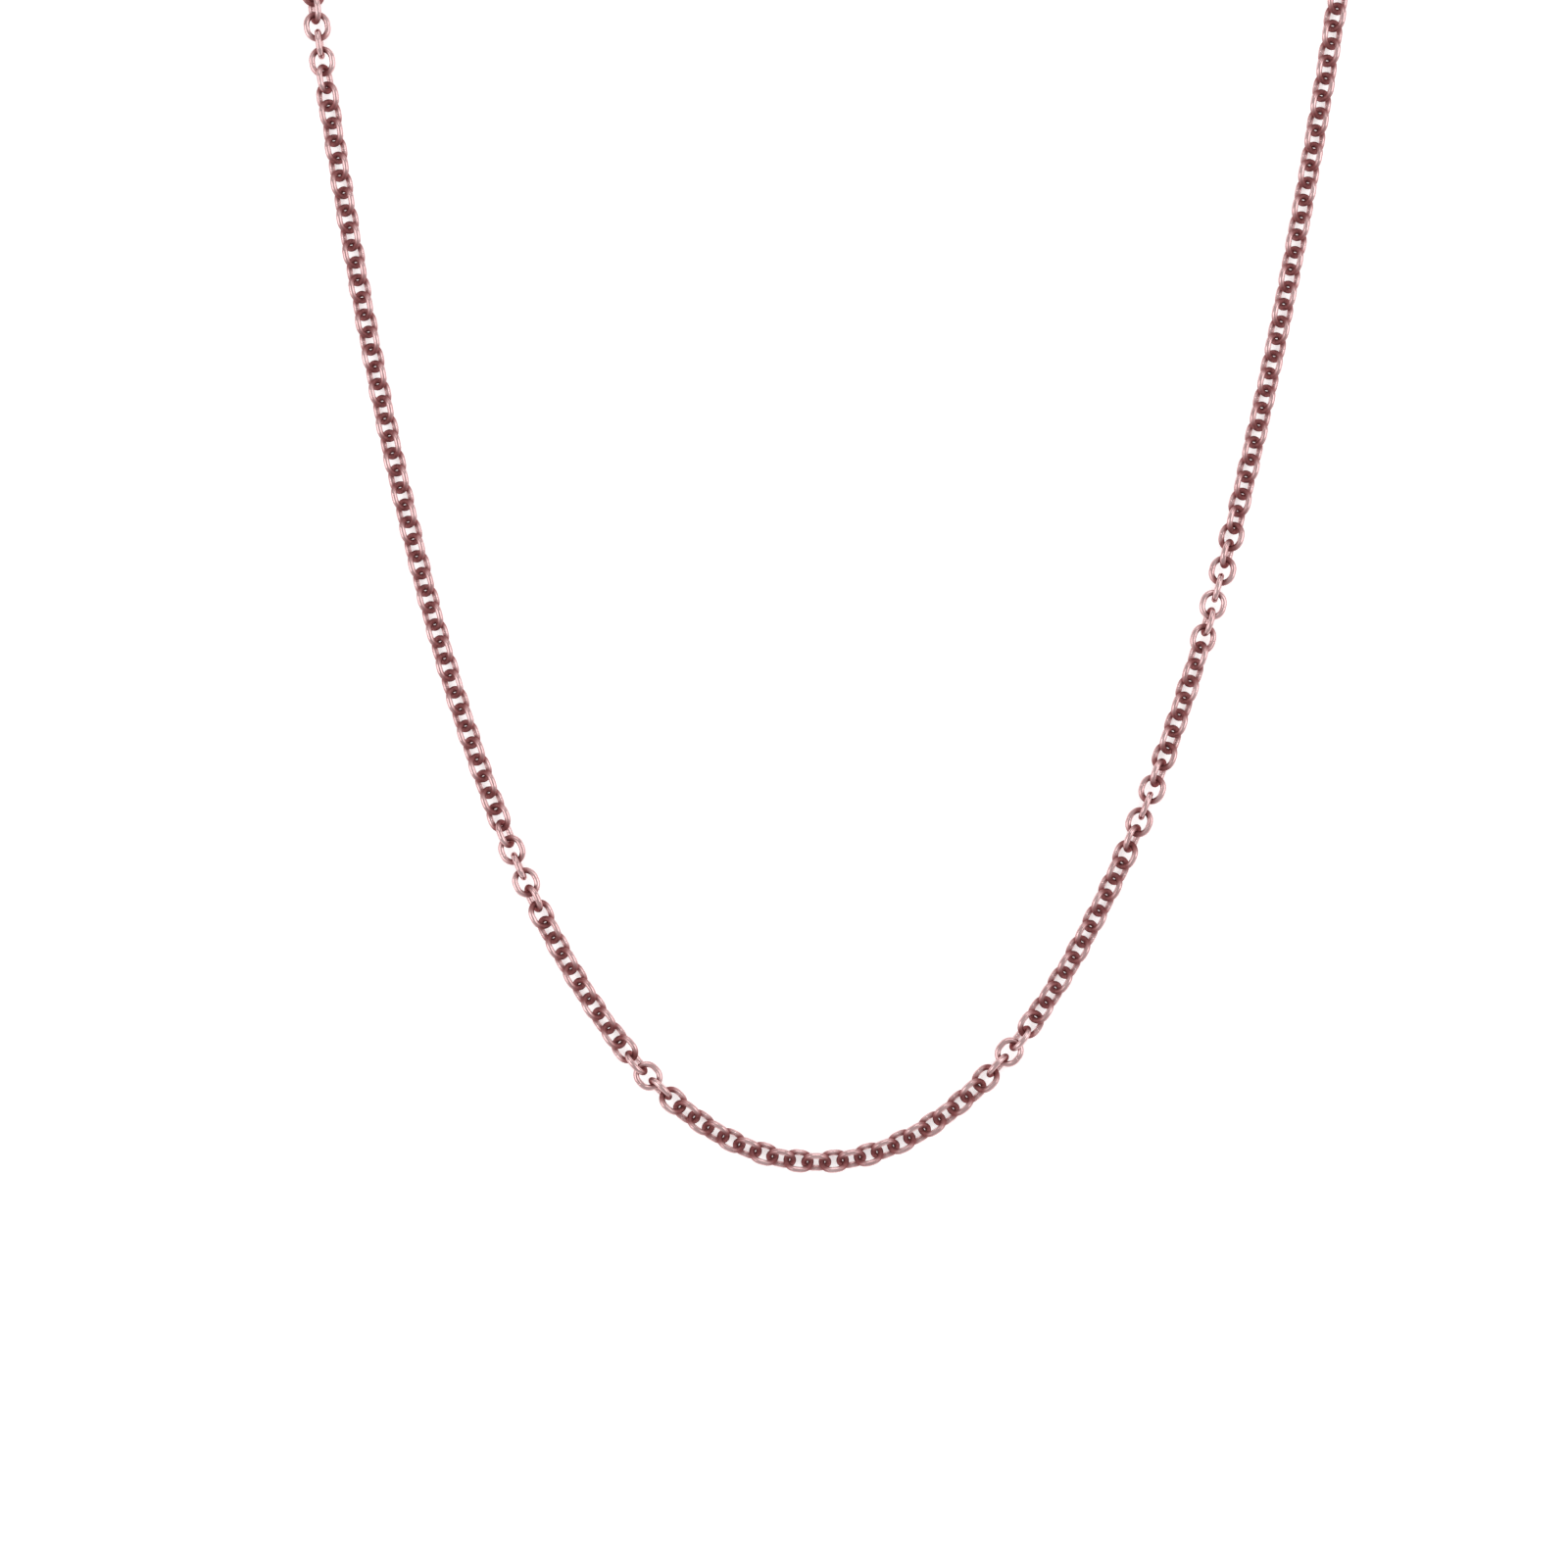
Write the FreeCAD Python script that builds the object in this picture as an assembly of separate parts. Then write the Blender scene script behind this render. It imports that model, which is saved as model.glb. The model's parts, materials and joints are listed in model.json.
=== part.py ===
import FreeCAD, Part
import math
import os

# A round cable-chain necklace with a lobster clasp, laid flat on a table with the clasp
# undone. The front of the chain is at the low-Y end of a U, and the two arms run towards +Y.
# Millimetres and degrees. The table is Z = 0, and the origin is below the middle of the
# necklace's outline.

Vector = FreeCAD.Vector

# Chain link: a round wire bent into a slightly long ring.
WIRE_DIAMETER = 0.44
LINK_WIDTH = 2.00
LINK_LENGTH = 2.26
LINK_PITCH = 1.31  # centre to centre of neighbouring links
LINK_LEAN = 45.0  # a link rests leaning this far, its neighbours as far the other way

# Chain: a front section and two arms, in sections of a few links that move as one piece.
FRONT_LINKS = 7
LINKS_PER_SECTION = 6
SECTIONS_PER_ARM = 26

# Centre-line: a hanging chain's curve, which droops a little more at the very front.
HANG_RADIUS = 14.56
FRONT_DROOP = 1.365
DROOP_REACH = 19.3

# How far the chain is twisted about its own line at some links, straight between them.
# Links are counted from the front, positive along the right arm.
TWIST_AT_LINK = [
    (-159, 180.0),
    (-100, 180.0),
    (-96, 135.0),
    (-92, 90.0),
    (-77, 90.0),
    (-73, 135.0),
    (-69, 180.0),
    (-29, 180.0),
    (-25, 135.0),
    (-21, 90.0),
    (-14, 90.0),
    (-8, 0.0),
    (0, 6.0),
    (10, 0.0),
    (16, 90.0),
    (25, 90.0),
    (29, 130.0),
    (33, 90.0),
    (37, 90.0),
    (39, 62.0),
    (43, 32.0),
    (47, 0.0),
    (60, -7.0),
    (84, 0.0),
    (88, 45.0),
    (92, 90.0),
    (154, 90.0),
    (159, 120.0),
]

# Clasp ring: the small ring between the left arm and the clasp.
CLASP_RING_WIRE = 0.44
CLASP_RING_RADIUS = 1.30  # to the middle of the wire
CLASP_RING_LEAN = 55.0
CLASP_RING_STEP = 1.66  # from the last link's centre
LAST_LINK_DROP = 0.15  # the last link's centre below the clasp ring's
LIFT_PER_LINK = 0.06  # how fast the chain rises to the clasp ring

# Lobster clasp, measured from the middle of its eye. It lies flat on the table.
CLASP_STEP = 1.72  # from the clasp ring's centre to the eye's
CLASP_THICKNESS = 2.40
EYE_RADIUS = 1.15  # to the middle of the eye's wire
EYE_WIRE = 0.60
BASE_CENTRE, BASE_RADIUS = 2.10, 1.00
NOSE_CENTRE, NOSE_RADIUS = 6.40, 2.35
MOUTH_BACK_CENTRE, MOUTH_BACK_RADIUS = 4.40, 0.70
MOUTH_FRONT_CENTRE, MOUTH_FRONT_RADIUS = 6.40, 1.40
OUTER_ROUNDING = 0.60
MOUTH_ROUNDING = 0.25

# Clasp lever, its pin and its spring.
PIVOT_X, PIVOT_Y = 2.65, 0.35
PIN_DIAMETER = 0.50
PIN_CLEARANCE = 0.03
PIN_RECESS = 0.05  # the pin's ends below the clasp's faces
LEVER_THICKNESS = 1.10
LEVER_REACH = 4.10  # from the pin to the tip
LEVER_HUB_RADIUS = 0.60
LEVER_CLEARANCE = 0.08
NUB_X, NUB_Y, NUB_RADIUS = 3.70, 1.80, 0.48
GATE_START_X = 3.40  # where the cheeks end and the gate's gap begins
SLOT_BACK_X, SLOT_FRONT_X, SLOT_FLOOR_Y = 1.95, 3.80, -0.55
SPRING_THICKNESS = 0.10
SPRING_WIDTH = 0.90
SPRING_LINE = [(2.15, -0.48), (3.66, -0.48), (3.42, 0.25)]

# End ring: the larger ring on the right arm, which the clasp hooks into.
END_RING_WIRE = 0.60
END_RING_RADIUS = 1.65
END_RING_TILT = 10.0  # its chain side lies on the last link's wire
END_RING_STEP = 1.88

WIRE_RADIUS = WIRE_DIAMETER / 2
LINK_BEND_RADIUS = LINK_WIDTH / 2 - WIRE_RADIUS
LAST_LINK = FRONT_LINKS // 2 + SECTIONS_PER_ARM * LINKS_PER_SECTION
CLASP_RING_HEIGHT = (
    CLASP_RING_RADIUS * math.sin(math.radians(CLASP_RING_LEAN)) + CLASP_RING_WIRE / 2
)
END_RING_HEIGHT = (
    END_RING_RADIUS * math.sin(math.radians(END_RING_TILT)) + END_RING_WIRE / 2
)


# ---- Where the links lie ----


def curve_point(u):
    """The centre-line's x and y, where u is the length of a plain hanging chain from its front."""
    droop = FRONT_DROOP * math.exp(-((u / DROOP_REACH) ** 2))
    x = HANG_RADIUS * math.asinh(u / HANG_RADIUS)
    y = math.hypot(HANG_RADIUS, u) - HANG_RADIUS - droop
    return x, y


def next_point(u):
    """The value of u one pitch further on, measured straight from centre to centre."""
    start = curve_point(u)
    after = u + LINK_PITCH
    for _ in range(12):
        after += LINK_PITCH - math.dist(start, curve_point(after))
    return after


def twist(link):
    """The chain's twist at a link."""
    for (a, low), (b, high) in zip(TWIST_AT_LINK, TWIST_AT_LINK[1:]):
        if a <= link <= b:
            return low + (high - low) * (link - a) / (b - a)
    raise ValueError(link)


def roll(link):
    """A link's turn about the chain's line. At 0 it lies flat, and at 90 it stands on edge."""
    lean = LINK_LEAN if link % 2 == 0 else -LINK_LEAN
    return lean + twist(link)


def resting_height(link):
    """How high a link would be on its own: on the table, or held up by the clasp ring."""
    on_table = WIRE_RADIUS + LINK_BEND_RADIUS * abs(math.sin(math.radians(roll(link))))
    links_from_clasp = link + LAST_LINK
    lifted = CLASP_RING_HEIGHT - LAST_LINK_DROP - LIFT_PER_LINK * links_from_clasp
    return max(on_table, lifted)


def link_heights():
    """Each link's height: neighbours hold one another up, so the line of the chain stays smooth."""
    links = range(-LAST_LINK, LAST_LINK + 1)
    alone = {n: resting_height(n) for n in links}
    held = {n: max(alone.get(m, 0.0) for m in (n - 1, n, n + 1)) for n in links}
    return {
        n: (held.get(n - 1, held[n]) + 2 * held[n] + held.get(n + 1, held[n])) / 4
        for n in links
    }


def link_centres():
    """{link: its centre}, from the end of the left arm to the end of the right arm."""
    flat, u = {}, 0.0
    for n in range(LAST_LINK + 1):
        x, y = curve_point(u)
        flat[n], flat[-n] = (x, y), (-x, y)
        u = next_point(u)
    heights = link_heights()
    return {n: Vector(*flat[n], heights[n]) for n in sorted(flat)}


def chain_direction(centres, link):
    """The chain's direction at a link, towards the right arm's end."""
    before = centres.get(link - 1, centres[link])
    after = centres.get(link + 1, centres[link])
    return (after - before).normalize()


def level_direction(centres, link):
    """The chain's direction at a link as seen from above."""
    along = chain_direction(centres, link)
    return Vector(along.x, along.y, 0).normalize()


def pose(centre, forward, turn=0.0, tilt=0.0):
    """The placement that puts a shape's X axis along forward.

    The shape is first turned about its X axis and then tilted nose up.
    """
    forward = Vector(forward).normalize()
    side = Vector(0, 0, 1).cross(forward).normalize()
    up = forward.cross(side)
    # fmt: off
    level = FreeCAD.Matrix(
        forward.x, side.x, up.x, centre.x,
        forward.y, side.y, up.y, centre.y,
        forward.z, side.z, up.z, centre.z,
        0, 0, 0, 1,
    )
    # fmt: on
    tilted = FreeCAD.Placement(Vector(), FreeCAD.Rotation(Vector(0, 1, 0), -tilt))
    turned = FreeCAD.Placement(Vector(), FreeCAD.Rotation(Vector(1, 0, 0), turn))
    return FreeCAD.Placement(level) * tilted * turned


def placed(shape, placement):
    """A copy of a shape, moved with its geometry."""
    return shape.transformed(placement.toMatrix(), True)


# ---- Chain ----


def link_shape():
    """One link, lying flat along X: two straight wires joined by two half rings."""
    half_straight = (LINK_LENGTH - LINK_WIDTH) / 2
    bend = LINK_BEND_RADIUS
    end = half_straight + bend
    corners = [
        Vector(-half_straight, -bend, 0),
        Vector(half_straight, -bend, 0),
        Vector(half_straight, bend, 0),
        Vector(-half_straight, bend, 0),
    ]
    line = Part.Wire(
        [
            Part.LineSegment(corners[0], corners[1]).toShape(),
            Part.Arc(corners[1], Vector(end, 0, 0), corners[2]).toShape(),
            Part.LineSegment(corners[2], corners[3]).toShape(),
            Part.Arc(corners[3], Vector(-end, 0, 0), corners[0]).toShape(),
        ]
    )
    section = Part.Wire([Part.makeCircle(WIRE_RADIUS, corners[0], Vector(1, 0, 0))])
    return line.makePipeShell([section], True, False)


def section_links(arm, number):
    """The links of an arm's section, outwards. arm is -1 for left and 1 for right."""
    first = FRONT_LINKS // 2 + 1 + (number - 1) * LINKS_PER_SECTION
    return [arm * n for n in range(first, first + LINKS_PER_SECTION)]


def section_names():
    """{node: its links} for every chain section."""
    half = FRONT_LINKS // 2
    names = {"chain_front": list(range(-half, half + 1))}
    for arm, side in ((-1, "left"), (1, "right")):
        for number in range(1, SECTIONS_PER_ARM + 1):
            names[f"chain_{side}_{number:02d}"] = section_links(arm, number)
    return names


def chain(centres):
    """{node: its links as one compound of separate solids}."""
    link = link_shape()
    return {
        node: Part.makeCompound(
            [
                placed(link, pose(centres[n], chain_direction(centres, n), roll(n)))
                for n in links
            ]
        )
        for node, links in section_names().items()
    }


# ---- Rings ----


def ring(radius, wire):
    """A closed round-wire ring in the XY plane."""
    return Part.makeTorus(radius, wire / 2)


def clasp_ring_centre(centres):
    outward = -1 * level_direction(centres, -LAST_LINK)
    centre = centres[-LAST_LINK] + outward * CLASP_RING_STEP
    return Vector(centre.x, centre.y, CLASP_RING_HEIGHT)


def clasp_ring(centres):
    """The jump ring on the left arm, leaning the other way from the last link."""
    outward = -1 * level_direction(centres, -LAST_LINK)
    place = pose(clasp_ring_centre(centres), outward, -CLASP_RING_LEAN)
    return placed(ring(CLASP_RING_RADIUS, CLASP_RING_WIRE), place)


def end_ring(centres):
    """The ring that the clasp hooks into. Its chain side is propped on the last link's wire."""
    outward = level_direction(centres, LAST_LINK)
    centre = centres[LAST_LINK] + outward * END_RING_STEP
    centre.z = END_RING_HEIGHT
    place = pose(centre, outward, tilt=-END_RING_TILT)
    return placed(ring(END_RING_RADIUS, END_RING_WIRE), place)


# ---- Lobster clasp, modelled flat about Z = 0 with its eye at the origin ----


def slab(outline, thickness):
    """A flat wire made into a plate of this thickness, half above Z = 0 and half below."""
    plate = Part.Face(outline).extrude(Vector(0, 0, thickness))
    plate.translate(Vector(0, 0, -thickness / 2))
    return plate


def disc(x, y, radius, thickness):
    return Part.makeCylinder(radius, thickness, Vector(x, y, -thickness / 2))


def block(low_x, high_x, low_y, high_y, thickness):
    corner = Vector(low_x, low_y, -thickness / 2)
    return Part.makeBox(high_x - low_x, high_y - low_y, thickness, corner)


def teardrop(back_x, back_radius, front_x, front_radius):
    """The outline around two circles on the X axis, with straight tangent sides."""
    rise = (front_radius - back_radius) / (front_x - back_x)
    normal = Vector(-rise, math.sqrt(1 - rise**2), 0)
    mirrored = Vector(normal.x, -normal.y, 0)
    back, front = Vector(back_x, 0, 0), Vector(front_x, 0, 0)
    back_left, front_left = back + normal * back_radius, front + normal * front_radius
    back_right = back + mirrored * back_radius
    front_right = front + mirrored * front_radius
    nose = front + Vector(front_radius, 0, 0)
    tail = back - Vector(back_radius, 0, 0)
    return Part.Wire(
        [
            Part.LineSegment(back_left, front_left).toShape(),
            Part.Arc(front_left, nose, front_right).toShape(),
            Part.LineSegment(front_right, back_right).toShape(),
            Part.Arc(back_right, tail, back_left).toShape(),
        ]
    )


def level_edges(shape, height):
    """The edges that lie all along at this height above or below Z = 0."""
    return [
        e
        for e in shape.Edges
        if all(abs(abs(v.Z) - height) < 1e-6 for v in e.Vertexes)
        and abs(abs(e.CenterOfMass.z) - height) < 1e-6
    ]


def clasp_outer(thickness):
    outline = teardrop(BASE_CENTRE, BASE_RADIUS, NOSE_CENTRE, NOSE_RADIUS)
    return slab(outline, thickness)


def clasp_mouth(thickness):
    outline = teardrop(
        MOUTH_BACK_CENTRE, MOUTH_BACK_RADIUS, MOUTH_FRONT_CENTRE, MOUTH_FRONT_RADIUS
    )
    return slab(outline, thickness)


def clasp_body():
    """The claw: a rounded teardrop with a mouth, a gate gap, a lever slot and an eye."""
    through = 2 * CLASP_THICKNESS
    half = CLASP_THICKNESS / 2
    nose_tip = NOSE_CENTRE + NOSE_RADIUS
    claw = clasp_outer(CLASP_THICKNESS)
    claw = claw.makeFillet(OUTER_ROUNDING, level_edges(claw, half))
    claw = claw.cut(clasp_mouth(through))
    mouth_edges = [
        e
        for e in level_edges(claw, half)
        if e.BoundBox.XMin > MOUTH_BACK_CENTRE - MOUTH_BACK_RADIUS - 0.01
        and e.BoundBox.YMax < MOUTH_FRONT_RADIUS + 0.01
        and e.BoundBox.YMin > -MOUTH_FRONT_RADIUS - 0.01
        and e.BoundBox.XMax < MOUTH_FRONT_CENTRE + MOUTH_FRONT_RADIUS + 0.01
    ]
    claw = claw.makeFillet(MOUTH_ROUNDING, mouth_edges)
    gate_side = block(GATE_START_X, nose_tip, PIVOT_Y - 0.05, NOSE_RADIUS, through)
    gate_sweep = disc(PIVOT_X, PIVOT_Y, LEVER_REACH + LEVER_CLEARANCE, through)
    gate_gap = gate_sweep.common(gate_side)
    slot_width = LEVER_THICKNESS + 2 * LEVER_CLEARANCE
    slot = block(SLOT_BACK_X, SLOT_FRONT_X, SLOT_FLOOR_Y, NOSE_RADIUS, slot_width)
    pin_hole = disc(PIVOT_X, PIVOT_Y, PIN_DIAMETER / 2, through)
    eye = ring(EYE_RADIUS, EYE_WIRE)
    return claw.cut([gate_gap, slot, pin_hole]).fuse(eye).removeSplitter()


def clasp_lever():
    """The gate, hub and thumb nub. Its tip is round about the pin, so it swings past the hook."""
    band = clasp_outer(LEVER_THICKNESS).cut(clasp_mouth(2 * LEVER_THICKNESS))
    nose_tip = NOSE_CENTRE + NOSE_RADIUS
    gate_side = block(PIVOT_X, nose_tip, PIVOT_Y, NOSE_RADIUS, LEVER_THICKNESS)
    reach = disc(PIVOT_X, PIVOT_Y, LEVER_REACH, LEVER_THICKNESS)
    arm = band.common(gate_side).common(reach)
    hub = disc(PIVOT_X, PIVOT_Y, LEVER_HUB_RADIUS, LEVER_THICKNESS)
    nub = disc(NUB_X, NUB_Y, NUB_RADIUS, LEVER_THICKNESS)
    bore = disc(
        PIVOT_X, PIVOT_Y, PIN_DIAMETER / 2 + PIN_CLEARANCE, 2 * LEVER_THICKNESS
    )
    return arm.fuse([hub, nub]).cut(bore).removeSplitter()


def lever_pin():
    length = CLASP_THICKNESS - 2 * PIN_RECESS
    return disc(PIVOT_X, PIVOT_Y, PIN_DIAMETER / 2, length)


def lever_spring():
    """A bent leaf in the slot, from its floor to the underside of the lever."""
    points = [Vector(x, y, -SPRING_WIDTH / 2) for x, y in SPRING_LINE]
    half = SPRING_THICKNESS / 2
    leaf = [Part.makeCylinder(half, SPRING_WIDTH, p) for p in points]
    for a, b in zip(points, points[1:]):
        side = (b - a).cross(Vector(0, 0, 1)).normalize() * half
        strip = Part.makePolygon([a - side, b - side, b + side, a + side, a - side])
        leaf.append(Part.Face(strip).extrude(Vector(0, 0, SPRING_WIDTH)))
    return leaf[0].fuse(leaf[1:]).removeSplitter()


def clasp_place(centres):
    outward = -1 * level_direction(centres, -LAST_LINK)
    centre = clasp_ring_centre(centres) + outward * CLASP_STEP
    centre.z = CLASP_THICKNESS / 2
    return pose(centre, outward)


def clasp(centres):
    """{node: shape} for the clasp's pieces, at the end of the left arm."""
    place = clasp_place(centres)
    pieces = {
        "clasp_body": clasp_body(),
        "clasp_lever": clasp_lever(),
        "lever_pin": lever_pin(),
        "lever_spring": lever_spring(),
    }
    return {node: placed(shape, place) for node, shape in pieces.items()}


# ---- Whole necklace ----


def to_origin(shapes):
    """The move that puts the origin on the table below the middle of the outline."""
    box = Part.makeCompound(list(shapes.values())).optimalBoundingBox(False, False)
    return Vector(-box.Center.x, -box.Center.y, -box.ZMin)


def necklace():
    """{node: shape}, in place."""
    centres = link_centres()
    shapes = chain(centres)
    shapes["clasp_ring"] = clasp_ring(centres)
    shapes.update(clasp(centres))
    shapes["end_ring"] = end_ring(centres)
    move = FreeCAD.Placement(to_origin(shapes), FreeCAD.Rotation())
    return {node: placed(shape, move) for node, shape in shapes.items()}


def main():
    os.makedirs("parts", exist_ok=True)
    for node, shape in necklace().items():
        shape.exportStep(f"parts/{node}.step")


if __name__ == "__main__":
    main()
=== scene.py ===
import json
import math

import bpy
import numpy as np
from mathutils import Matrix, Vector


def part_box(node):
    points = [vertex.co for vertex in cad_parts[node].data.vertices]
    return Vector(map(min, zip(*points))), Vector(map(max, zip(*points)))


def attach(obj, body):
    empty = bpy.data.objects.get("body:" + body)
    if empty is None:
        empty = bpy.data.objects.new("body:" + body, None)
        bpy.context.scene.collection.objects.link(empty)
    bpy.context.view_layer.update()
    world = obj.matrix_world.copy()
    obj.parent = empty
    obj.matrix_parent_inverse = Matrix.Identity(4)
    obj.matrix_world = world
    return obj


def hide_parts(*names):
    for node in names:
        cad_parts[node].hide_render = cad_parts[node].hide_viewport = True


# A rose-gold cable-chain necklace lying on a pale table, seen from straight above.
# Metres, in the CAD frame: +Z up from the table, +Y from the front of the chain to its ends.

MM = 0.001

# Chain link, as in the CAD: a round wire bent into a slightly long ring.
WIRE_RADIUS = 0.22 * MM
LINK_BEND_RADIUS = 0.78 * MM  # to the middle of the wire
LINK_HALF_STRAIGHT = 0.13 * MM
BEND_STEPS = 18
STRAIGHT_STEPS = 6
WIRE_SIDES = 16

# Solder seam on one side of each link and of the end ring.
SEAM_WIDTH = 0.05 * MM
SEAM_DEPTH = 0.012 * MM

# The patch where neighbouring links cross, painted dark as shade and dulled where they rub: full
# at NEAR from the bearing point, gone at FAR.
CROSSING_NEAR = 0.56 * MM
CROSSING_FAR = 0.86 * MM
CROSSING_STRETCH = 1.25  # how much wider than long the patch is
CROSSING_REACH_FLAT = 0.5  # its size on a link that is flat or on edge, against a leaning one
CROSSING_DULLNESS = 0.42  # added to the roughness

# Rings, as in the CAD.
CLASP_RING_RADIUS = 1.30 * MM
CLASP_RING_WIRE_RADIUS = 0.22 * MM
CLASP_RING_CUT = 0.04 * MM
END_RING_RADIUS = 1.65 * MM
END_RING_WIRE_RADIUS = 0.30 * MM
RING_STEPS = 72

# Metal: how fine each pattern is, in cells per metre.
CLOUD_SCALE = 900.0
POLISH_SCALE = 4000.0
# For the crossing patches: how cloudy their painted shade and dulling are, and how fine the
# painted shade's tone is.
SHADE_AND_WEAR_SCALE = 2500.0
PAINTED_SHADE_SCALE = 5000.0
SCRATCH_SCALE = 3000.0
SCRATCH_DETAIL = 5.0
SCRATCH_STRETCH = (1.0, 6.0, 2.0)
SCRATCH_DEPTH = 0.02 * MM
TONE_STOPS = (0.3, 0.7)  # the noise values where a tone is fully the one colour or the other
# How much the noise scales the crossing patches' painted shade and dulling.
SHADE_AND_WEAR_RANGE = (0.8, 1.2)

# Colours: light and dark, as red, green and blue in linear light.
ROSE_GOLD = ((0.76, 0.53, 0.53), (0.61, 0.38, 0.38))
STEEL = ((0.62, 0.62, 0.64), (0.50, 0.50, 0.53))
# Painted shade where links cross: dark reds standing in for the shade and reflections between
# the links.
PAINTED_CROSSING_SHADE = ((0.24, 0.075, 0.075), (0.36, 0.145, 0.145))
TABLE_WHITE = ((0.94, 0.94, 0.94), (0.92, 0.92, 0.92))
WHITE = (1.0, 1.0, 1.0, 1.0)  # with its opacity

# Studio: a white table that glows a little, three softboxes and an even sky.
TABLE_HALF_WIDTH = 2.0
TABLE_DROP = 0.02 * MM  # the gap below the chain
TABLE_GRAIN_SCALE = 300.0
TABLE_ROUGHNESS = 0.6
TABLE_GLOW = 0.45
SKY_STRENGTH = 0.6
SOFTBOX_WIDTH = 0.6
SOFTBOXES = {  # name: (place from the aim point, power in watts)
    "softbox_left": ((-0.6, -0.1, 0.5), 1.6),
    "softbox_right": ((0.6, 0.1, 0.5), 1.6),
    "softbox_back": ((0.0, 0.7, 0.6), 1.2),
}

# Camera: above the front of the chain. Lens and sensor in millimetres, the roll in radians.
CAMERA_VIEW_WIDTH = 116.6 * MM
CAMERA_LENS = 100.0
CAMERA_SENSOR = 36.0
CAMERA_ROLL = 0.0076
CAMERA_CLIP_START = 10.0 * MM
AIM_LEFT_OF_FRONT = 2.60 * MM
AIM_ABOVE_FRONT = 28.78 * MM


# ---- Reading the CAD's shapes ----


def mesh_arrays(node):
    """A CAD node's points and triangles, with coincident points merged."""
    mesh = frame["nodes"][node].data
    points = np.zeros(len(mesh.vertices) * 3, np.float32)
    mesh.vertices.foreach_get("co", points)
    points, number = np.unique(points.reshape(-1, 3), axis=0, return_inverse=True)
    mesh.calc_loop_triangles()
    corners = np.zeros(len(mesh.loop_triangles) * 3, np.int32)
    mesh.loop_triangles.foreach_get("vertices", corners)
    return points.astype(float), number.reshape(-1)[corners].reshape(-1, 3)


def part_numbers(point_count, triangles):
    """For each point, the lowest point number in the solid that it belongs to."""
    label = np.arange(point_count)
    while True:
        lowest = label[triangles].min(axis=1)
        nearer = label.copy()
        for corner in triangles.T:
            np.minimum.at(nearer, corner, lowest)
        nearer = nearer[nearer]
        if np.array_equal(nearer, label):
            return label
        label = nearer


def surface_axes(points, triangles):
    """A solid's centre and its long, middle and short axes, weighing its surface by area."""
    a, b, c = (points[triangles[:, k]] for k in range(3))
    area = np.linalg.norm(np.cross(b - a, c - a), axis=1) / 2
    middles = (a + b + c) / 3
    centre = np.average(middles, axis=0, weights=area)
    spread = middles - centre
    _, axes = np.linalg.eigh((spread * area[:, None]).T @ spread)
    return Vector(centre), [Vector(axes[:, k]) for k in (2, 1, 0)]


def solids(node):
    """[(centre, axes)] for each separate solid of a CAD node."""
    points, triangles = mesh_arrays(node)
    label = part_numbers(len(points), triangles)
    owner = label[triangles[:, 0]]
    return [surface_axes(points, triangles[owner == k]) for k in np.unique(owner)]


def placement(centre, x_axis, y_axis):
    """The matrix that puts a shape's origin at centre and its X and Y along these axes."""
    z_axis = x_axis.cross(y_axis)
    turn = Matrix((x_axis, y_axis, z_axis)).transposed().to_4x4()
    return Matrix.Translation(centre) @ turn


# ---- Wire shapes ----


def sweep(path, sides, closed):
    """Points and faces of a round wire along a flat path.

    The path is a list of (x, y, outward x, outward y, wire radius), counter-clockwise.
    """
    points, faces = [], []
    for x, y, out_x, out_y, radius in path:
        for k in range(sides):
            angle = 2 * math.pi * k / sides
            out = radius * math.cos(angle)
            points.append((x + out * out_x, y + out * out_y, radius * math.sin(angle)))
    rows = len(path)
    for row in range(rows if closed else rows - 1):
        here, ahead = row * sides, (row + 1) % rows * sides
        for k in range(sides):
            after = (k + 1) % sides
            faces.append((here + k, ahead + k, ahead + after, here + after))
    if not closed:
        faces.append(tuple(range(sides)))
        faces.append(tuple(reversed(range((rows - 1) * sides, rows * sides))))
    return points, faces


def seam(distance):
    """How far the wire's surface is pulled in at this distance from the solder seam's middle."""
    return SEAM_DEPTH * math.exp(-((distance / (SEAM_WIDTH / 2)) ** 2))


def link_bend(side):
    """The wire round a link's +X end, or its -X end if side is -1, between its straights."""
    path = []
    for k in range(1, BEND_STEPS):
        angle = math.pi * (k / BEND_STEPS - side / 2)
        out_x, out_y = math.cos(angle), math.sin(angle)
        x = side * LINK_HALF_STRAIGHT + LINK_BEND_RADIUS * out_x
        path.append((x, LINK_BEND_RADIUS * out_y, out_x, out_y, WIRE_RADIUS))
    return path


def link_path():
    """One link's wire, counter-clockwise, with its seam in the middle of the -Y side."""
    path = []
    for k in range(STRAIGHT_STEPS * 2 + 1):
        x = LINK_HALF_STRAIGHT * (k / STRAIGHT_STEPS - 1)
        path.append((x, -LINK_BEND_RADIUS, 0.0, -1.0, WIRE_RADIUS - seam(x)))
    path += link_bend(1)
    path.append((LINK_HALF_STRAIGHT, LINK_BEND_RADIUS, 0.0, 1.0, WIRE_RADIUS))
    path.append((-LINK_HALF_STRAIGHT, LINK_BEND_RADIUS, 0.0, 1.0, WIRE_RADIUS))
    path += link_bend(-1)
    return path


def crossing_reach(normal):
    """The size of a link's painted-shade and dull patches: 1 if it leans 45 degrees, less if
    flat or on edge.
    """
    lean = 2 * abs(normal.z) * math.hypot(normal.x, normal.y)
    return CROSSING_REACH_FLAT + (1 - CROSSING_REACH_FLAT) * lean


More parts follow.
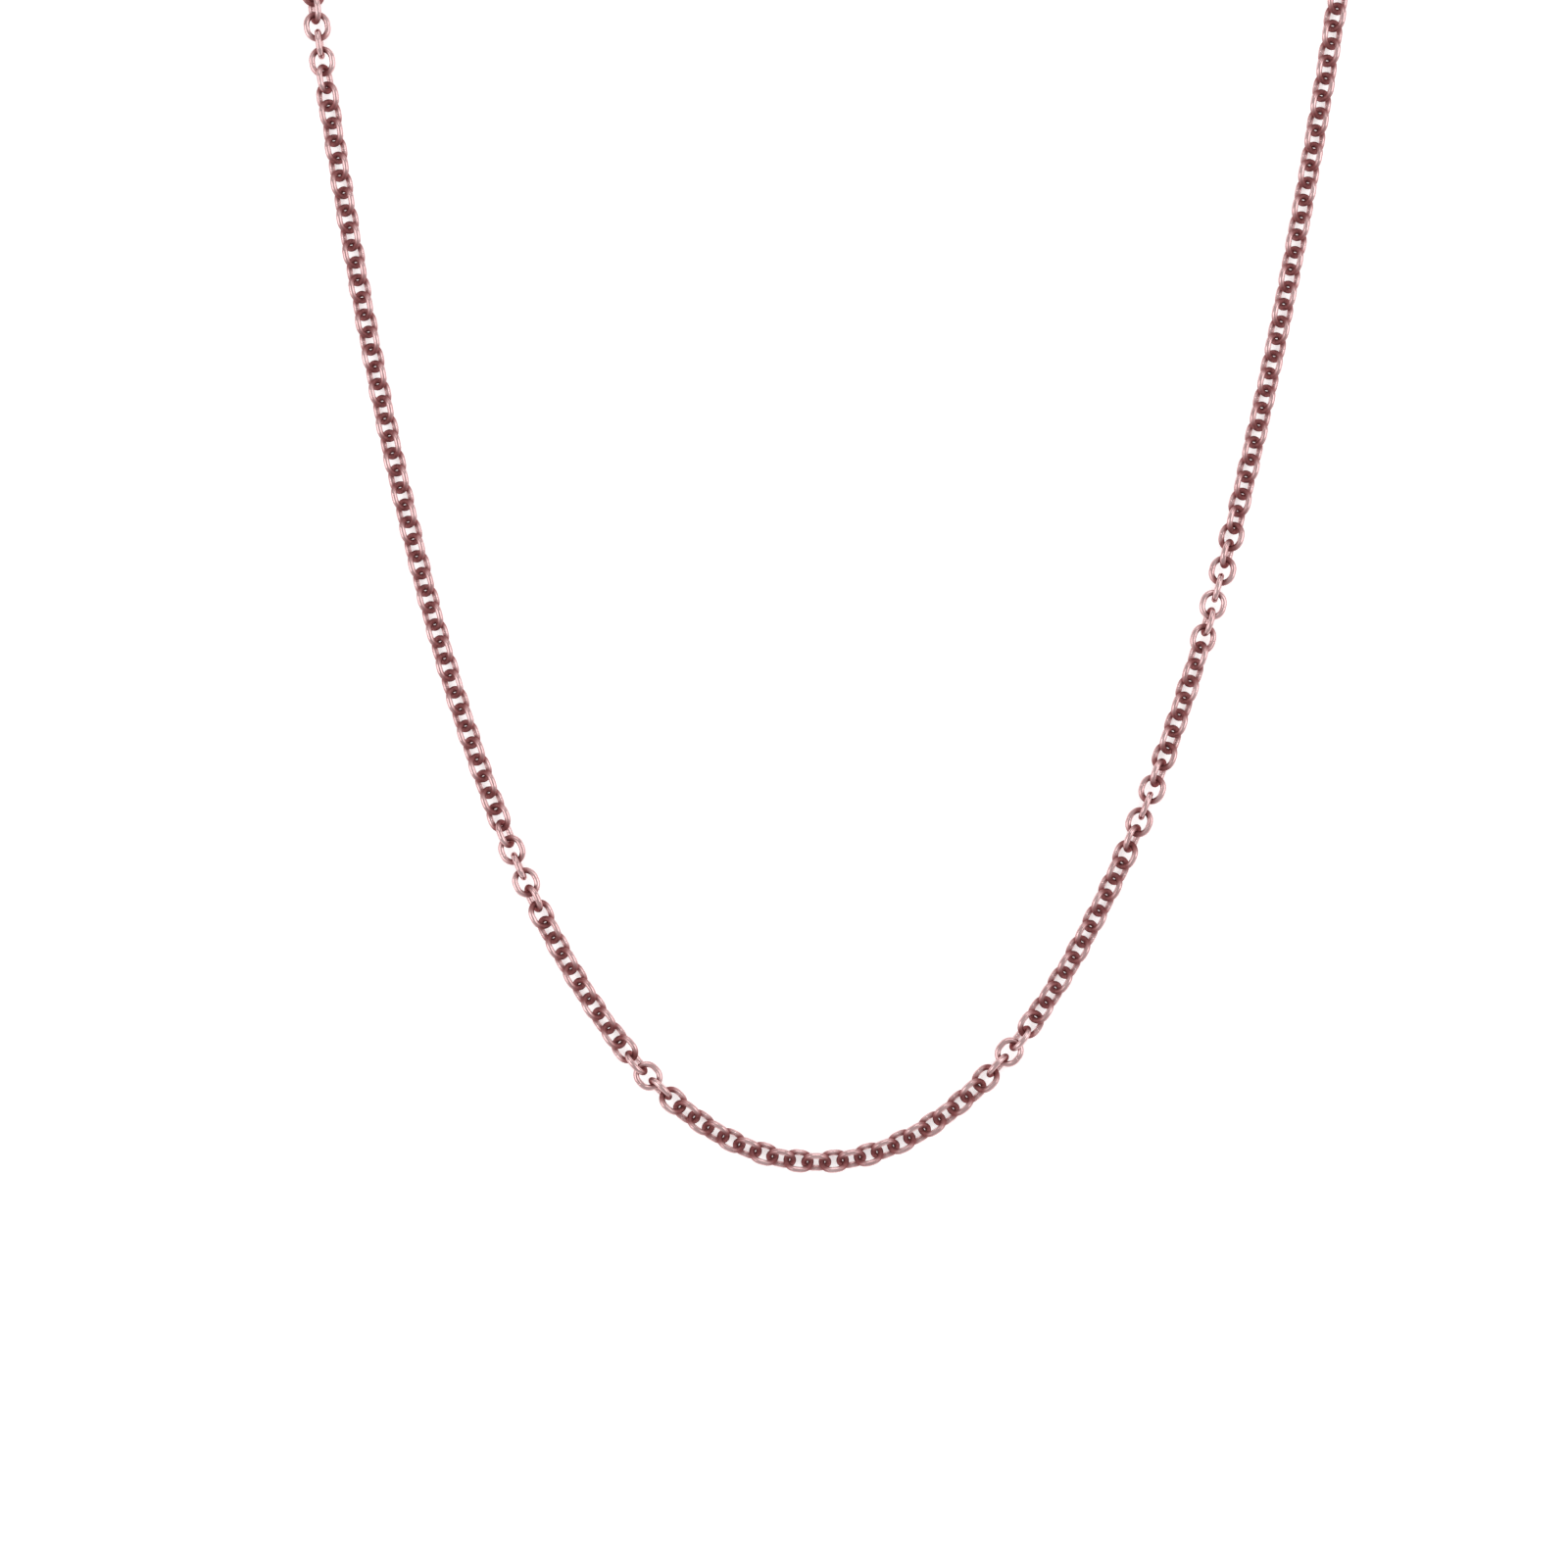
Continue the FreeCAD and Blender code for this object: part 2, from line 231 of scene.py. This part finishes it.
def crossing_amount(point, reach):
    """1 where a neighbour bears on a link, inside its ends, falling to 0 on its sides."""
    bearing = LINK_HALF_STRAIGHT + LINK_BEND_RADIUS - WIRE_RADIUS
    along, across, up = abs(point[0]), point[1] / CROSSING_STRETCH, point[2]
    distance = math.dist((along, across, up), (bearing, 0, 0)) / reach
    amount = (CROSSING_FAR - distance) / (CROSSING_FAR - CROSSING_NEAR)
    return min(1.0, max(0.0, amount))


def ring_path(radius, wire_radius, gap):
    """A round ring's wire. It starts and ends on the +X side, with a gap between."""
    path = []
    opening = gap / radius / 2
    for k in range(RING_STEPS + 1):
        angle = opening + (2 * math.pi - 2 * opening) * k / RING_STEPS
        out_x, out_y = math.cos(angle), math.sin(angle)
        path.append((radius * out_x, radius * out_y, out_x, out_y, wire_radius))
    return path


# ---- Pieces ----


def add_piece(name, points, faces, body, replaced, material):
    """A smooth rose-gold piece that moves with a body and stands in for a CAD node."""
    mesh = bpy.data.meshes.new(name)
    mesh.from_pydata(points, [], faces)
    mesh.update()
    mesh.shade_smooth()
    mesh.materials.append(material)
    piece = bpy.data.objects.new(name, mesh)
    bpy.context.scene.collection.objects.link(piece)
    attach(piece, body)
    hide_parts(replaced)
    return piece


def link_placement(centre, axes):
    """Where a link lies: X along its length and Y up across it, so its seam is underneath."""
    length, width = axes[0], axes[1]
    if length.y < 0:
        length = -length
    if width.z < 0:
        width = -width
    return placement(centre, length, width)


def chain_section(node, body, material):
    """Finished links in place of a section's plain ones."""
    shape, faces_of_one = sweep(link_path(), WIRE_SIDES, True)
    points, faces, crossing = [], [], []
    for centre, axes in solids(node):
        place = link_placement(centre, axes)
        first = len(points)
        points.extend(place @ Vector(p) for p in shape)
        faces.extend(tuple(first + k for k in face) for face in faces_of_one)
        # The crossing attribute masks the painted shade and the dulling where links cross.
        reach = crossing_reach(axes[2])
        crossing.extend(crossing_amount(p, reach) for p in shape)
    piece = add_piece(f"links_{node}", points, faces, body, node, material)
    marks = piece.data.attributes.new("crossing", "FLOAT", "POINT")
    marks.data.foreach_set("value", crossing)


def jump_ring(material):
    """The clasp ring, cut across its wire at the top of its lean."""
    [(centre, axes)] = solids("clasp_ring")
    normal = axes[2]
    level = normal.cross(Vector((0, 0, 1))).normalized()
    slope = level.cross(normal)
    if slope.z < 0:
        slope = -slope
    place = placement(centre, slope, normal.cross(slope))
    path = ring_path(CLASP_RING_RADIUS, CLASP_RING_WIRE_RADIUS, CLASP_RING_CUT)
    points, faces = sweep(path, WIRE_SIDES, False)
    points = [place @ Vector(p) for p in points]
    add_piece("cut_jump_ring", points, faces, "clasp_ring", "clasp_ring", material)


def soldered_ring(material):
    """The end ring, with its solder seam on one side."""
    [(centre, axes)] = solids("end_ring")
    normal = axes[2]
    level = normal.cross(Vector((0, 0, 1))).normalized()
    place = placement(centre, level, normal.cross(level))
    plain = ring_path(END_RING_RADIUS, END_RING_WIRE_RADIUS, 0.0)[:-1]
    path = [
        (x, y, out_x, out_y, radius - seam(y) * (x > 0))
        for x, y, out_x, out_y, radius in plain
    ]
    points, faces = sweep(path, WIRE_SIDES, True)
    points = [place @ Vector(p) for p in points]
    add_piece("soldered_end_ring", points, faces, "end_ring", "end_ring", material)


# ---- Materials ----


def node_in(tree, kind, **values):
    """A new shader node with its properties and input values set."""
    node = tree.nodes.new(kind)
    for key, value in values.items():
        if hasattr(node, key):
            setattr(node, key, value)
        else:
            node.inputs[key].default_value = value
    return node


def noise(tree, place, scale, detail=3.0, stretch=(1, 1, 1)):
    """A noise texture's value over object coordinates, scale in cells per metre."""
    mapping = node_in(tree, "ShaderNodeMapping", Scale=stretch)
    texture = node_in(tree, "ShaderNodeTexNoise", Scale=scale, Detail=detail)
    tree.links.new(place, mapping.inputs["Vector"])
    tree.links.new(mapping.outputs["Vector"], texture.inputs["Vector"])
    return texture.outputs["Fac"]


def ramp(tree, value, stops):
    """A colour ramp over a value, between two pairs of a position and a colour."""
    node = tree.nodes.new("ShaderNodeValToRGB")
    for element, (position, colour) in zip(node.color_ramp.elements, stops):
        element.position = position
        element.color = (*colour, 1.0)
    tree.links.new(value, node.inputs["Fac"])
    return node.outputs["Color"]


def span(tree, value, low, high):
    """A value of 0 to 1 stretched to low to high."""
    node = tree.nodes.new("ShaderNodeMapRange")
    node.inputs["To Min"].default_value = low
    node.inputs["To Max"].default_value = high
    tree.links.new(value, node.inputs["Value"])
    return node.outputs["Result"]


def mixed(tree, amount, a, b):
    """Colour a where the amount is 0, and colour b where it is 1."""
    node = tree.nodes.new("ShaderNodeMix")
    node.data_type = "RGBA"
    tree.links.new(amount, node.inputs["Factor"])
    tree.links.new(a, node.inputs["A"])
    tree.links.new(b, node.inputs["B"])
    return node.outputs["Result"]


def arithmetic(tree, operation, a, b):
    """The sum, product or other operation of two values."""
    node = node_in(tree, "ShaderNodeMath", operation=operation)
    tree.links.new(a, node.inputs[0])
    tree.links.new(b, node.inputs[1])
    return node.outputs["Value"]


def metal(name, colours, roughness, scratches, painted_shade=None):
    """Polished metal: a cloudy tone between two colours, uneven polish and fine scratches.

    Given a second pair of colours, it is painted darker where links cross, standing in for their
    shade, and duller where they rub.
    """
    light, dark = colours
    material = bpy.data.materials.new(name)
    material.use_nodes = True
    tree = material.node_tree
    surface = tree.nodes["Principled BSDF"]
    surface.inputs["Metallic"].default_value = 1.0
    surface.inputs["Specular Tint"].default_value = (*dark, 1.0)
    place = tree.nodes.new("ShaderNodeTexCoord").outputs["Object"]
    colour = ramp(tree, noise(tree, place, CLOUD_SCALE), zip(TONE_STOPS, (dark, light)))
    polish = span(tree, noise(tree, place, POLISH_SCALE), *roughness)
    if painted_shade:
        marks = tree.nodes.new("ShaderNodeAttribute")
        marks.attribute_name = "crossing"
        cloudy = span(tree, noise(tree, place, SHADE_AND_WEAR_SCALE), *SHADE_AND_WEAR_RANGE)
        shade_and_wear = arithmetic(tree, "MULTIPLY", marks.outputs["Fac"], cloudy)
        # Painted shade: the crossing patches are coloured dark, standing in for the shade
        # between links.
        painted_shade_tone = ramp(tree, noise(tree, place, PAINTED_SHADE_SCALE), zip(TONE_STOPS, painted_shade))
        colour = mixed(tree, shade_and_wear, colour, painted_shade_tone)
        dulling = span(tree, shade_and_wear, 0.0, CROSSING_DULLNESS)
        polish = arithmetic(tree, "ADD", polish, dulling)
    tree.links.new(colour, surface.inputs["Base Color"])
    tree.links.new(polish, surface.inputs["Roughness"])
    bump = node_in(tree, "ShaderNodeBump", Strength=scratches, Distance=SCRATCH_DEPTH)
    lines = noise(tree, place, SCRATCH_SCALE, SCRATCH_DETAIL, SCRATCH_STRETCH)
    tree.links.new(lines, bump.inputs["Height"])
    tree.links.new(bump.outputs["Normal"], surface.inputs["Normal"])
    return material


def table_material():
    """White, and clear from below, so that the necklace shows from every side."""
    light, dark = TABLE_WHITE
    material = bpy.data.materials.new("white_table")
    material.use_nodes = True
    tree = material.node_tree
    surface = tree.nodes["Principled BSDF"]
    surface.inputs["Roughness"].default_value = TABLE_ROUGHNESS
    surface.inputs["Emission Color"].default_value = WHITE
    surface.inputs["Emission Strength"].default_value = TABLE_GLOW
    place = tree.nodes.new("ShaderNodeTexCoord").outputs["Object"]
    grain = ramp(tree, noise(tree, place, TABLE_GRAIN_SCALE), [(0.0, dark), (1.0, light)])
    tree.links.new(grain, surface.inputs["Base Color"])
    below = tree.nodes.new("ShaderNodeNewGeometry").outputs["Backfacing"]
    clear = tree.nodes.new("ShaderNodeBsdfTransparent")
    one_sided = tree.nodes.new("ShaderNodeMixShader")
    tree.links.new(below, one_sided.inputs["Fac"])
    tree.links.new(surface.outputs["BSDF"], one_sided.inputs[1])
    tree.links.new(clear.outputs["BSDF"], one_sided.inputs[2])
    output = tree.nodes["Material Output"]
    tree.links.new(one_sided.outputs["Shader"], output.inputs["Surface"])
    return material


# ---- Studio ----


def add_table():
    """A large table top, just below the chain."""
    half = TABLE_HALF_WIDTH
    mesh = bpy.data.meshes.new("table")
    corners = [(-half, -half, 0), (half, -half, 0), (half, half, 0), (-half, half, 0)]
    mesh.from_pydata(corners, [], [(0, 1, 2, 3)])
    mesh.materials.append(table_material())
    table = bpy.data.objects.new("table", mesh)
    table.location.z = -TABLE_DROP
    bpy.context.scene.collection.objects.link(table)


def add_softbox(name, place, aim, power):
    """A square light at a place, turned to the aim point and hidden from the camera."""
    lamp = bpy.data.lights.new(name, "AREA")
    lamp.shape = "SQUARE"
    lamp.size = SOFTBOX_WIDTH
    lamp.energy = power
    light = bpy.data.objects.new(name, lamp)
    light.location = place
    light.rotation_euler = (aim - place).to_track_quat("-Z", "Y").to_euler()
    light.visible_camera = False
    bpy.context.scene.collection.objects.link(light)


def add_lights(aim):
    """The softboxes round the aim point, and the even sky."""
    for name, (offset, power) in SOFTBOXES.items():
        add_softbox(name, aim + Vector(offset), aim, power)
    world = bpy.data.worlds.new("light_tent")
    world.use_nodes = True
    sky = world.node_tree.nodes["Background"]
    sky.inputs["Color"].default_value = WHITE
    sky.inputs["Strength"].default_value = SKY_STRENGTH
    bpy.context.scene.world = world


def add_camera():
    """The camera, looking straight down. Returns the point on the table that it aims at."""
    low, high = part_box("chain_front")
    aim = Vector(((low.x + high.x) / 2 - AIM_LEFT_OF_FRONT, low.y + AIM_ABOVE_FRONT, 0))
    lens = bpy.data.cameras.new("camera")
    lens.lens = CAMERA_LENS
    lens.sensor_width = CAMERA_SENSOR
    lens.clip_start = CAMERA_CLIP_START
    camera = bpy.data.objects.new("camera", lens)
    distance = CAMERA_VIEW_WIDTH * CAMERA_LENS / CAMERA_SENSOR
    camera.location = aim + Vector((0, 0, distance))
    camera.rotation_euler = (0, 0, CAMERA_ROLL)
    bpy.context.scene.collection.objects.link(camera)
    bpy.context.scene.camera = camera
    return aim


def build_necklace():
    """Finished links and rings in place of the CAD's, and materials on the clasp's pieces."""
    chain_gold = metal(
        "rose_gold_chain", ROSE_GOLD, roughness=(0.12, 0.24), scratches=0.15, painted_shade=PAINTED_CROSSING_SHADE
    )
    cast_gold = metal("rose_gold_cast", ROSE_GOLD, roughness=(0.14, 0.30), scratches=0.25)
    steel = metal("spring_steel", STEEL, roughness=(0.22, 0.38), scratches=0.3)
    for body, nodes in frame["record"]["behaviour"]["bodies"].items():
        for node in nodes:
            if node.startswith("chain_"):
                chain_section(node, body, chain_gold)
    jump_ring(cast_gold)
    soldered_ring(cast_gold)
    finishes = {
        "clasp_body": cast_gold,
        "clasp_lever": cast_gold,
        "lever_pin": cast_gold,
        "lever_spring": steel,
    }
    for node, finish in finishes.items():
        materials = frame["nodes"][node].data.materials
        materials.clear()
        materials.append(finish)


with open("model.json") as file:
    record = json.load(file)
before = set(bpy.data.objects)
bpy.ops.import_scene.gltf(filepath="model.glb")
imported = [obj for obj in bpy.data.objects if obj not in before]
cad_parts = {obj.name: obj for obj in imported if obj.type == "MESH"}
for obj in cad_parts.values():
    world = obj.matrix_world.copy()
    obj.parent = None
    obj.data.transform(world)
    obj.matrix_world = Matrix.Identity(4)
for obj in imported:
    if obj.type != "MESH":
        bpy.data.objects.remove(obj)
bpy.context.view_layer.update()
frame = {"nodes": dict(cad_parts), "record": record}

build_necklace()
add_table()
add_lights(add_camera())
bpy.context.scene.view_settings.view_transform = "Standard"
